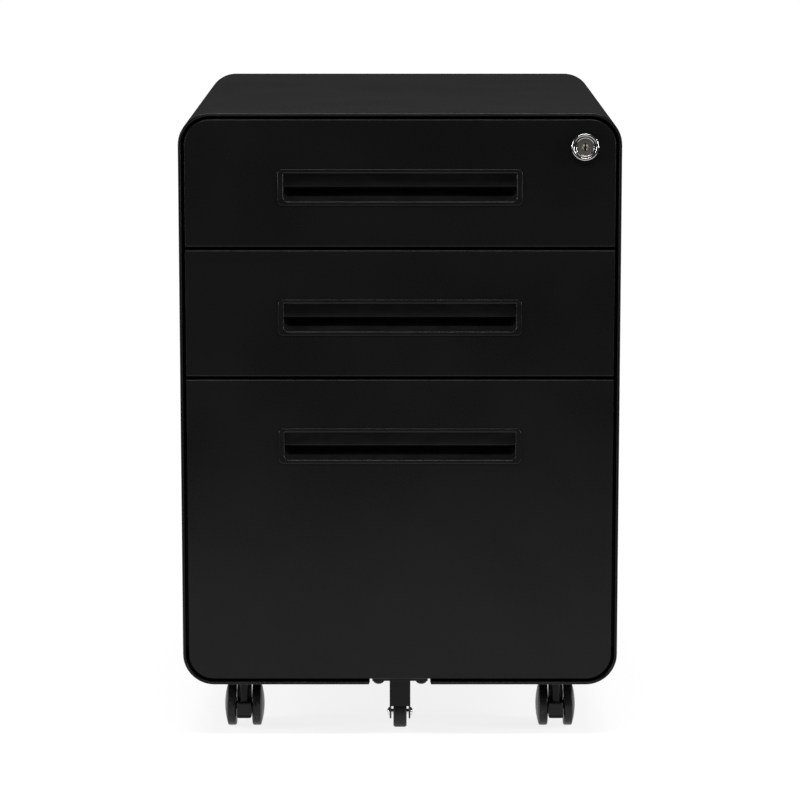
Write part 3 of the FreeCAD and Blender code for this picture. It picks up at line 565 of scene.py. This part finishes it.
# %% Finger pulls
def finger_pull(name):
    """Cup and plate of one pull; half and rise are half widths and half heights."""
    lo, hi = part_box("pull_cup_" + name)
    z = (lo.z + hi.z) / 2
    half, rise = 107.8 * MM, 16.1 * MM             # border
    open_half, open_rise = 102.6 * MM, 12.2 * MM   # opening
    body_half, body_rise = 104.7 * MM, 15.0 * MM   # body behind the border
    proud = -0.3 * MM                              # front of the border
    edge, lip = 0.8 * MM, 1.5 * MM                 # roundings outside and inside the border
    rear, back = 15 * MM, 16.5 * MM                # end of the scoop, and of the body behind it
    border_corner, body_corner, top_corner = 4.5 * MM, 1 * MM, 0.8 * MM

    def ring(x, low, high, depth, top_radius, bottom_radius):
        return rounded_ring(-x, x, z + low, z + high, depth, top_radius, bottom_radius, 10)

    rings = [ring(body_half, -body_rise, body_rise, back, body_corner, body_corner),
             ring(body_half, -body_rise, body_rise, FACE + 0.05 * MM, body_corner, body_corner),
             ring(half, -rise, rise, FACE, border_corner, border_corner)]
    for k in range(6):
        t = math.pi / 2 * k / 5
        inset = edge * (1 - math.cos(t))
        rings.append(ring(half - inset, -rise + inset, rise - inset, proud + edge - edge * math.sin(t),
                          border_corner - inset, border_corner - inset))
    for k in range(7):
        t = math.pi / 2 * k / 6
        grown = lip * (1 - math.sin(t))
        rings.append(ring(open_half + grown, -open_rise - grown, open_rise + grown,
                          proud + lip * (1 - math.cos(t)), top_corner + grown, 4 * MM + grown))
    for k in range(1, 11):
        t = k / 10
        depth = proud + lip + (rear - proud - lip) * t
        scoop = 10 * MM * (0.7 * t + 0.3 * t * t)
        under = 1.3 * MM * min(t * 6, 1)
        rings.append(ring(open_half, -open_rise + scoop, open_rise + under, depth, top_corner,
                          (4 + 2 * t) * MM))
    cup = solid(rings)
    front, thick, foot = 3.5 * MM, 1.5 * MM, 0.3 * MM
    outline = []
    for k in range(9):
        a = math.pi * k / 8
        outline.append((front + thick / 2 - thick / 2 * math.cos(a),
                        foot + thick / 2 - thick / 2 * math.sin(a)))
    outline += [(front + thick, open_rise + 1.4 * MM), (front, open_rise + 1.4 * MM)]
    plate_rings = [[Vector((x, at(d), z + v)) for d, v in outline]
                   for x in (-open_half - 0.1 * MM, open_half + 0.1 * MM)]
    plate = solid(plate_rings)
    pull = make_piece("pull_" + name, [cup, plate])
    return dress(settle(pull), "drawer_" + name, "black_pull_plastic", "pull_cup_" + name)


for drawer in DRAWERS:
    finger_pull(drawer)

# %% [markdown]
# ## Lock
# The head is a polished chrome ring, crowned so that it shows the whole room as a bright band, with a groove
# and a fine bead inside it. Dark grooves between bright rings are what make it read as turned metal. The
# plug's flat satin face sits a millimetre back, with a countersunk dimple round the keyway.

# %% Lock barrel
head_radius, bore = 12.2 * MM, 7.45 * MM
profile = [(bore, 29 * MM), (bore, 1.5 * MM), (7.6 * MM, 1.1 * MM), (7.9 * MM, 0.75 * MM),
           (8.3 * MM, 0.6 * MM), (8.7 * MM, 0.75 * MM), (8.95 * MM, 1.25 * MM), (9.15 * MM, 1.55 * MM)]
crown, crown_height = (head_radius - 9.35 * MM) / 2, 1.5 * MM
for k in range(15):
    t = math.pi * k / 14
    profile.append((head_radius - crown - crown * math.cos(t), crown_height * (1 - math.sin(t))))
profile += [(head_radius, 3 * MM), (9.5 * MM, 3 * MM), (9.5 * MM, 28.6 * MM), (9.1 * MM, 29 * MM)]
ring_front = Vector((lock_middle.x, barrel_lo.y, lock_middle.z))
barrel = make_piece("lock_head", [skin(turned(profile, ring_front, (0, 1, 0), 96), closed=True)])
dress(settle(barrel, 40), "drawer_top", "lock_chrome", "lock_barrel")

# %% [markdown]
# ### Plug
# The plug is turned like the ring, and then its keyway is cut through with a boolean, because a lathe can't
# make a slot. It rides on its own body, so that it turns with the key.

# %% Lock plug with its keyway
plug_lo, plug_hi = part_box("lock_plug")
plug_radius = 7.4 * MM
length = plug_hi.y - plug_lo.y
profile = [(0, 1.1 * MM), (1.3 * MM, 0.95 * MM), (2.55 * MM, 0.12 * MM), (2.8 * MM, 0), (6.9 * MM, 0),
           (7.25 * MM, 0.12 * MM), (plug_radius, 0.45 * MM), (plug_radius, length - 0.3 * MM),
           (plug_radius - 0.3 * MM, length), (0, length)]
face = Vector((lock_middle.x, plug_lo.y, lock_middle.z))
plug = make_piece("plug_face", [skin(turned(profile, face, (0, 1, 0), 72))])
keyway = [(-0.8, -3.5), (0.8, -3.5), (0.8, -1.2), (0.35, -0.9), (0.35, 0.3), (0.8, 0.6), (0.8, 3.5),
          (-0.8, 3.5), (-0.8, 1.6), (-0.4, 1.3), (-0.4, 0.5), (-0.8, 0.2)]
slot_rings = [[Vector((face.x + x * MM, face.y + d, face.z + v * MM)) for x, v in keyway]
              for d in (-2 * MM, 20 * MM)]
cut(plug, make_piece("key_slot", [solid(slot_rings)]))
dress(settle(plug), "lock_plug", "lock_plug_nickel", "lock_plug")

# %% [markdown]
# ## Casters
# Twin-wheel casters: an arm on the stem carries an axle with a wheel each side. The wheels' outer faces are
# shallow domes that meet a flat tread with small edge radii, and a groove parts the tread from the dome. The
# arm has a blunt nose in front and, behind the stem, a fender that closes the gap between the wheels. The
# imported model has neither: its arm has a round nose and ends below the fender, so nothing collides there.

# %% Casters
RIM_GROOVE = (0.93, 0.915, 0.9)          # shares of the dome's radius that lie in its outer groove
HUB_GROOVE = (0.335, 0.315)              # and in the one round its hub
DOME_SHARES = (0.985, 0.95, *RIM_GROOVE, 0.885, 0.8, 0.65, 0.5, 0.36, *HUB_GROOVE, 0.29, 0.2, 0.1, 0.0)


def wheel_profile(radius, tread, dome, edge, hub, bore_depth):
    """Half section of a wheel from its blind bore, over the inner face and the tread, to the dome's middle."""
    profile = [(0, bore_depth), (hub, bore_depth), (hub, 0.3 * MM), (hub + 0.3 * MM, 0),
               (5.2 * MM, 0), (5.5 * MM, 0.5 * MM), (13.5 * MM, 0.5 * MM), (13.9 * MM, 0)]
    for k in range(7):
        t = math.pi / 2 * k / 6
        profile.append((radius - edge + edge * math.sin(t), edge - edge * math.cos(t)))
    for k in range(7):
        t = math.pi / 2 * k / 6
        profile.append((radius - edge + edge * math.cos(t), tread - edge + edge * math.sin(t)))
    face = radius - edge
    ball = (face ** 2 + dome ** 2) / (2 * dome)
    for share in DOME_SHARES:
        r = face * share
        height = tread + dome - ball + math.sqrt(ball ** 2 - r ** 2)
        if share in RIM_GROOVE:
            height -= 0.35 * MM
        if share in HUB_GROOVE:
            height -= 0.25 * MM
        profile.append((r, height))
    return profile


WHEEL_RADIUS = 20 * MM
for corner in CORNERS:
    for letter, side in (("a", -1), ("b", 1)):
        node = "caster_wheel_" + corner + "_" + letter
        lo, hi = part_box(node)
        inner = hi.x if side < 0 else lo.x
        middle = Vector((inner, (lo.y + hi.y) / 2, WHEEL_RADIUS))
        profile = wheel_profile(WHEEL_RADIUS, 8.2 * MM, 2.6 * MM, 1.8 * MM, 2.55 * MM, 7.7 * MM)
        wheel = make_piece("wheel_" + corner + "_" + letter,
                           [skin(turned(profile, middle, (side, 0, 0), 80))])
        dress(settle(wheel), "wheel_" + corner + "_" + letter, "wheel_plastic", node)


def arm_ring(x, half, front, rear, z, nose_radius):
    """Outline of the arm seen from above: a blunt nose and a round heel."""
    ring = []
    for middle_x, middle_y, radius, start in (
            (x - half + nose_radius, front + nose_radius, nose_radius, 180),
            (x + half - nose_radius, front + nose_radius, nose_radius, 270),
            (x, rear - half, half, 0)):
        sweep = 180 if radius == half else 90
        for k in range(17):
            a = math.radians(start + sweep * k / 16)
            ring.append(Vector((middle_x + radius * math.cos(a), middle_y + radius * math.sin(a), z)))
    return ring


def caster_arm(corner):
    """Blunt block round the stem's socket, with a fender between the wheels behind it."""
    lo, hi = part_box("caster_body_" + corner)
    half, x = (hi.x - lo.x) / 2, (lo.x + hi.x) / 2
    block = [arm_ring(x, half - i * MM, lo.y + i * MM, hi.y - i * MM, lo.z + z * MM, 1.9 * MM)
             for i, z in ((1.0, 0), (0.3, 0.3), (0, 0.9), (0, 1.7), (0.45, 2.0), (0.45, 2.3), (0.1, 2.7),
                          (0.1, 12.9), (0.5, 14.2), (1.5, 15.0))]
    stem_y = lo.y + half
    fender = [arm_ring(x, half - (0.25 + i) * MM, stem_y + (8 + lean) * MM, hi.y - (0.4 + i) * MM,
                       lo.z + z * MM, 1.2 * MM)
              for i, lean, z in ((0, 0, 10), (0, 0, 21), (0, 0.6, 26), (0.1, 1.6, 29.5), (0.6, 2.6, 31),
                                 (1.6, 4, 31.5))]
    arm = make_piece("caster_arm_" + corner, [solid(block)])
    join(arm, make_piece("fender", [solid(fender)]))
    return dress(settle(arm), "caster_" + corner, "caster_plastic", "caster_body_" + corner)


for corner in CORNERS:
    caster_arm(corner)

# %% [markdown]
# ## Fifth wheel
# A pressed bracket under the file drawer's front: its apron leaves the plate in a flared bend, and two ears
# reach down to the wheel. A rivet with bright domed heads is the axle.

# %% Fifth wheel bracket
plate_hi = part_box("fifth_wheel_bracket")[1]


def copied(node, name):
    """Merged copy of a carried-over part's mesh, to be finished as a piece of its own."""
    piece = bpy.data.objects.new(name, nodes[node].data.copy())
    bpy.context.scene.collection.objects.link(piece)
    work = bmesh.new()
    work.from_mesh(piece.data)
    bmesh.ops.remove_doubles(work, verts=work.verts, dist=CAD_SAME_POINT)
    bmesh.ops.dissolve_limit(work, angle_limit=math.radians(1), verts=work.verts, edges=work.edges)
    work.to_mesh(piece.data)
    work.free()
    return piece


bracket = copied("fifth_wheel_bracket", "fifth_wheel_fork")
ease = bracket.modifiers.new("ease", "BEVEL")
ease.width, ease.segments, ease.limit_method, ease.angle_limit = 0.25 * MM, 2, "ANGLE", math.radians(35)
bake(bracket)
bend_radius = 4.5 * MM
fork_half, apron = 9.35 * MM, 15.55 * MM
fork_rings = []
for k in range(13):
    t = math.pi / 2 * k / 12
    half = fork_half + 2.6 * MM * (1 - math.cos(t)) ** 1.5
    depth = apron - bend_radius * (1 - math.cos(t))
    z = plate_hi.z - 2.5 * MM - bend_radius * (1 - math.sin(t))
    fork_rings.append([Vector((-half, at(depth), z)), Vector((half, at(depth), z)),
                       Vector((half, at(apron + 0.5 * MM), z + 0.3 * MM)),
                       Vector((-half, at(apron + 0.5 * MM), z + 0.3 * MM))])
join(bracket, make_piece("flare", [solid(fork_rings)]))
dress(settle(bracket, 30), "drawer_bottom", "black_powder_coat", "fifth_wheel_bracket")

# %% [markdown]
# ### Wheel, rivet and bolts
# These are all turned shapes. The tyre is one closed section, the rivet is mirrored about the wheel's middle,
# and a nut is a lathe shape with only six steps.

# %% Fifth wheel, rivet and bolts
wheel_lo, wheel_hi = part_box("fifth_wheel")
middle = (wheel_lo + wheel_hi) / 2
radius = (wheel_hi.z - wheel_lo.z) / 2
half = (wheel_hi.x - wheel_lo.x) / 2
side_profile = [(2.55 * MM, half - 0.3 * MM), (2.9 * MM, half), (5.0 * MM, half), (5.3 * MM, half - 0.5 * MM),
                (9.6 * MM, half - 0.5 * MM), (10 * MM, half - 0.1 * MM)]
for k in range(9):
    t = math.pi / 2 * k / 8
    side_profile.append((radius - 2 * MM + 2 * MM * math.sin(t), half - 2 * MM + 2 * MM * math.cos(t)))
profile = side_profile + [(r, -a) for r, a in side_profile[::-1]]
tyre = make_piece("fifth_tyre", [skin(turned(profile, middle, (1, 0, 0), 96), closed=True)])
dress(settle(tyre), "fifth_wheel", "fifth_wheel_rubber", "fifth_wheel")

axle_lo, axle_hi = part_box("fifth_wheel_axle")
reach = (axle_hi.x - axle_lo.x) / 2
end = [(0, reach), (1.2 * MM, reach - 0.12 * MM), (2.4 * MM, reach - 0.55 * MM), (3.4 * MM, reach - 1.25 * MM),
       (3.9 * MM, reach - 2.0 * MM), (4 * MM, reach - 2.6 * MM), (2.5 * MM, reach - 2.6 * MM)]
rivet = make_piece("fifth_rivet", [skin(turned(end + [(r, -a) for r, a in end[::-1]], middle,
                                               (1, 0, 0), 48))])
dress(settle(rivet, 40), "drawer_bottom", "bright_rivet", "fifth_wheel_axle")

bolt_skins = []
for sign in (-1, 1):
    centre = Vector((sign * 19.3 * MM, at(12 * MM), plate_hi.z - 2.5 * MM))
    dome = [(0, 4.6 * MM)]
    for k in range(1, 11):
        t = math.pi / 2 * k / 10
        dome.append((5.3 * MM * math.sin(t), 0.7 * MM + 3.9 * MM * math.cos(t)))
    dome += [(5.3 * MM, 0), (3 * MM, 0), (3 * MM, -9.7 * MM), (0, -9.7 * MM)]
    bolt_skins.append(skin(turned(dome, centre, (0, 0, -1), 56)))
    nut = [(0, -8.7 * MM), (5.0 * MM, -8.7 * MM), (5.77 * MM, -8.4 * MM), (5.77 * MM, -3.7 * MM),
           (0, -3.7 * MM)]
    bolt_skins.append(skin(turned(nut, centre, (0, 0, -1), 6)))
bolts = make_piece("fifth_bolts", bolt_skins)
dress(settle(bolts), "drawer_bottom", "black_bolt", "fifth_wheel_bolts")

# %% [markdown]
# ## Screws
# Small pan-head screws hold the back panel, the slides and the boxes. One screw is modelled, with a dished
# cross recess, and a node tree sets it on each place, facing as the place says and turned by a seeded random
# angle, because no fitter stops every screw at the same angle. The places are read from the carried-over
# screws, so they can't drift away from their holes.

# %% Where the screws are
HEAD_SHARE = 0.85         # points farther out than this share of the widest belong to the head


def loose_parts(node):
    """Corner points of each separate solid of a carried-over part, in a fixed order."""
    work = bmesh.new()
    work.from_mesh(nodes[node].data)
    bmesh.ops.remove_doubles(work, verts=work.verts, dist=CAD_SAME_POINT)
    left, parts = set(work.verts), []
    while left:
        queue, group = [left.pop()], []
        while queue:
            corner = queue.pop()
            group.append(corner.co.copy())
            for edge in corner.link_edges:
                other = edge.other_vert(corner)
                if other in left:
                    left.remove(other)
                    queue.append(other)
        parts.append(sorted(group, key=tuple))
    work.free()
    return sorted(parts, key=lambda part: tuple(part[0]))


def screw_place(part):
    """Middle of the head's seat, the way the head faces, its height, and the shank's length."""
    lo = Vector([min(p[k] for p in part) for k in range(3)])
    hi = Vector([max(p[k] for p in part) for k in range(3)])
    middle = (lo + hi) / 2
    best = None
    for k in range(3):
        arms = [p - middle for p in part]
        reach = [math.sqrt(arm.length_squared - arm[k] ** 2) for arm in arms]
        wide = [p[k] for r, p in zip(reach, part) if r > HEAD_SHARE * max(reach)]
        if best is None or max(wide) - min(wide) < best[0]:
            best = (max(wide) - min(wide), k, min(wide), max(wide))
    height, k, low, high = best
    sign = 1 if (low + high) / 2 > middle[k] else -1
    seat = middle.copy()
    seat[k] = low if sign > 0 else high
    facing = Vector((0, 0, 0))
    facing[k] = sign
    return seat, facing, height, (hi[k] - lo[k]) - height


places = [screw_place(part) for part in loose_parts("back_panel_screws")]
print("back panel screws", len(places), "with shanks of", round(places[0][3] / MM, 2), "mm")

# %% [markdown]
# ### One screw
# The model is kept light, because it is repeated at every place. Two tapered bars at right angles cut the
# recess, which is how a cross recess is pressed.

# %% One screw
def pan_screw(height, shank):
    """Screw whose seat is at the origin and whose head looks along Z."""
    head, radius = 3.5 * MM, 2 * MM
    profile = [(0, height), (1.2 * MM, height * 0.98), (2.2 * MM, height * 0.86), (2.9 * MM, height * 0.66),
               (3.3 * MM, height * 0.4), (head, height * 0.15), (head, 0), (radius, 0),
               (radius, -shank + 0.6 * MM), (radius * 0.6, -shank), (0, -shank)]
    screw = make_piece("pan_screw", [skin(turned(profile, Vector((0, 0, 0)), (0, 0, 1), 28))])
    arms = []
    for turn in (0, 90):
        rings = []
        for z, length, width in ((height + 1 * MM, 1.9 * MM, 0.5 * MM),
                                 (height - 0.75 * MM, 1.1 * MM, 0.3 * MM)):
            ring = []
            for sx, sy in ((1, 1), (-1, 1), (-1, -1), (1, -1)):
                x, y = sx * length, sy * width
                ring.append(Vector((x, y, z)) if turn == 0 else Vector((-y, x, z)))
            rings.append(ring)
        arms.append(make_piece("recess", [solid(rings)]))
    return settle(cut(screw, *arms), 35)


print("a screw's head here is", round(places[0][2] / MM, 2), "mm high")

# %% [markdown]
# ### The tree that sets them
# The places are points with a facing attribute. The tree aims an instance along each facing, turns it by a
# seeded random angle, makes the instances real and gives them their finish, because the export drops
# instances.

# %% The tree that sets screws on their places
def screw_tree():
    """Instances of one screw on points that carry a facing attribute."""
    tree = bpy.data.node_groups.new("screws_on_places", "GeometryNodeTree")
    for name, kind in (("Places", "NodeSocketGeometry"), ("Screw", "NodeSocketObject"),
                       ("Size", "NodeSocketFloat"), ("Seed", "NodeSocketInt"),
                       ("Finish", "NodeSocketMaterial")):
        tree.interface.new_socket(name, in_out="INPUT", socket_type=kind)
    tree.interface.new_socket("Screws", in_out="OUTPUT", socket_type="NodeSocketGeometry")

    def add(kind, settings=None, links=None, **values):
        made = tree.nodes.new(kind)
        for key, value in (settings or {}).items():
            setattr(made, key, value)
        for key, value in values.items():
            made.inputs[key].default_value = value
        for key, socket in (links or {}).items():
            tree.links.new(socket, made.inputs[key])
        return made

    given = add("NodeGroupInput").outputs
    facing = add("GeometryNodeInputNamedAttribute", {"data_type": "FLOAT_VECTOR"}, Name="facing")
    aim = add("FunctionNodeAlignRotationToVector", {"axis": "Z"}, {"Vector": facing.outputs[0]})
    spin = add("FunctionNodeRandomValue", {"data_type": "FLOAT"}, {"Seed": given["Seed"]})
    spin.inputs[2].default_value, spin.inputs[3].default_value = 0.0, 2 * math.pi
    turn = add("FunctionNodeAxisAngleToRotation", None, {"Angle": spin.outputs[1]}, Axis=(0, 0, 1))
    both = add("FunctionNodeRotateRotation", {"rotation_space": "LOCAL"},
               {"Rotation": aim.outputs[0], "Rotate By": turn.outputs[0]})
    model = add("GeometryNodeObjectInfo", None, {"Object": given["Screw"]})
    placed = add("GeometryNodeInstanceOnPoints", None,
                 {"Points": given["Places"], "Instance": model.outputs["Geometry"],
                  "Rotation": both.outputs[0], "Scale": given["Size"]})
    real = add("GeometryNodeRealizeInstances", None, {"Geometry": placed.outputs[0]})
    coated = add("GeometryNodeSetMaterial", None, {"Geometry": real.outputs[0], "Material": given["Finish"]})
    add("NodeGroupOutput", None, {"Screws": coated.outputs[0]})
    return tree


screws_tree = screw_tree()
sockets = {item.name: item.identifier for item in screws_tree.interface.items_tree if item.in_out == "INPUT"}


def set_screws(name, node, body, seed):
    """One piece with all the screws of a carried-over part."""
    found = [screw_place(part) for part in loose_parts(node)]
    model = pan_screw(found[0][2], min(place[3] for place in found))
    mesh = bpy.data.meshes.new(name)
    mesh.from_pydata([place[0] for place in found], [], [])
    facing = mesh.attributes.new("facing", "FLOAT_VECTOR", "POINT")
    for i, place in enumerate(found):
        facing.data[i].vector = place[1]
    piece = bpy.data.objects.new(name, mesh)
    bpy.context.scene.collection.objects.link(piece)
    step = piece.modifiers.new("screws", "NODES")
    step.node_group = screws_tree
    step[sockets["Screw"]], step[sockets["Size"]] = model, 1.0
    step[sockets["Seed"]], step[sockets["Finish"]] = seed, finishes["screw_steel"]
    bake(piece)
    bpy.data.objects.remove(model)
    return dress(piece, body, "screw_steel", node)


set_screws("panel_screws", "back_panel_screws", "casing", 3)
set_screws("slide_fixings", "slide_screws", "casing", 5)
for seed, drawer in enumerate(DRAWERS):
    set_screws("box_screws_" + drawer, "drawer_screws_" + drawer, "drawer_" + drawer, 11 + seed)

# %% [markdown]
# ## Floor
# The pedestal stands on a round pale floor, wide enough for its open drawers. It glows a little by itself, so
# that it stays nearly white without light strong enough to burn out the coat, and shadows on it are faint.

# %% Floor
def round_floor(radius, rings=6, steps=72):
    """Flat round floor, round the middle of the pedestal."""
    loops = [[Vector((radius * r / rings * math.cos(2 * math.pi * i / steps),
                      radius * r / rings * math.sin(2 * math.pi * i / steps), 0)) for i in range(steps)]
             for r in range(1, rings + 1)]
    floor = make_piece("pale_floor", [skin(loops, first_cap=True)])
    floor.data.shade_smooth()
    pale = Finish("pale_floor", Roughness=0.9, Specular_IOR_Level=0.1, Emission_Strength=0.86)
    pale.feed("Base Color", pale.blend(pale.noise(3, 2), (0.2, 0.2, 0.2, 1), (0.21, 0.21, 0.21, 1)))
    pale.feed("Emission Color", pale.blend(pale.noise(2, 1), (1, 1, 1, 1), (0.98, 0.98, 0.98, 1)))
    floor.data.materials.append(pale.material)
    if floor.data.polygons[0].normal.z < 0:
        floor.data.flip_normals()


round_floor(1.15)

# %% [markdown]
# ## Room and lights
# The coat is nearly black, so what it shows is mostly what it reflects. The world therefore has two
# brightnesses, picked by a Light Path node: white where the camera looks straight at it, and a dim room for
# every other ray, as behind black screens in a studio. Two long soft boxes overhead light the top, two tall
# strips stand at the front sides for the thin lines down the bends, and two weaker ones do it for the rear.

# %% Room and lights
ROOM = 0.045              # brightness of the room that the coat reflects
BACKGROUND = 1.05         # brightness of the world where the camera sees it
AIM = (0, 0, 0.3)         # the lights look at the middle of the pedestal
world = bpy.data.worlds.new("studio")
bpy.context.scene.world = world
world.use_nodes = True
room = world.node_tree
seen = room.nodes["Background"]
seen.inputs["Color"].default_value, seen.inputs["Strength"].default_value = (1, 1, 1, 1), BACKGROUND
dim = room.nodes.new("ShaderNodeBackground")
dim.inputs["Color"].default_value, dim.inputs["Strength"].default_value = (1, 1, 1, 1), ROOM
ray = room.nodes.new("ShaderNodeLightPath")
pick = room.nodes.new("ShaderNodeMixShader")
room.links.new(ray.outputs["Is Camera Ray"], pick.inputs[0])
room.links.new(dim.outputs[0], pick.inputs[1])
room.links.new(seen.outputs[0], pick.inputs[2])
room.links.new(pick.outputs[0], room.nodes["World Output"].inputs["Surface"])
bpy.context.scene.view_settings.view_transform = "Standard"


def soft_light(name, place, target, width, height, brightness):
    """Soft box; its power follows from its brightness and its area."""
    lamp = bpy.data.lights.new(name, "AREA")
    lamp.shape, lamp.size, lamp.size_y = "RECTANGLE", width, height
    lamp.energy = brightness * math.pi * width * height
    holder = bpy.data.objects.new(name, lamp)
    holder.location = place
    holder.rotation_euler = (Vector(target) - Vector(place)).to_track_quat("-Z", "Y").to_euler()
    bpy.context.scene.collection.objects.link(holder)


for sign in (-1, 1):
    soft_light("overhead", (0, sign * 1.1, 2.5), AIM, 2.2, 0.3, 16)
    soft_light("front_strip", (sign * 2.65, -0.7, 1.0), AIM, 0.3, 1.6, 30)
    soft_light("rear_strip", (sign * 2.65, 0.9, 1.0), AIM, 0.5, 1.6, 5)

# %% [markdown]
# ## Camera
# A long lens three metres in front keeps the sides nearly parallel. The camera stands above the top and looks
# down a little, so that the top shows as a narrow band. Depth of field stays off, for the other views' sake.

# %% Camera
DISTANCE, EYE, PITCH = 3.0, 0.808, 9.43   # metres before the casing, metres up, degrees down
lens = bpy.data.cameras.new("view")
lens.sensor_width, lens.lens = 36, 154.2
lens.clip_end = 50
view = bpy.data.objects.new("view", lens)
view.location = (0, casing_lo.y - DISTANCE, EYE)
view.rotation_euler = (math.radians(90 - PITCH), 0, 0)
bpy.context.scene.collection.objects.link(view)
bpy.context.scene.camera = view
print("camera at", [round(v, 3) for v in view.location])

# %% [markdown]
# The visual pieces have to fill the same box as the imported model.
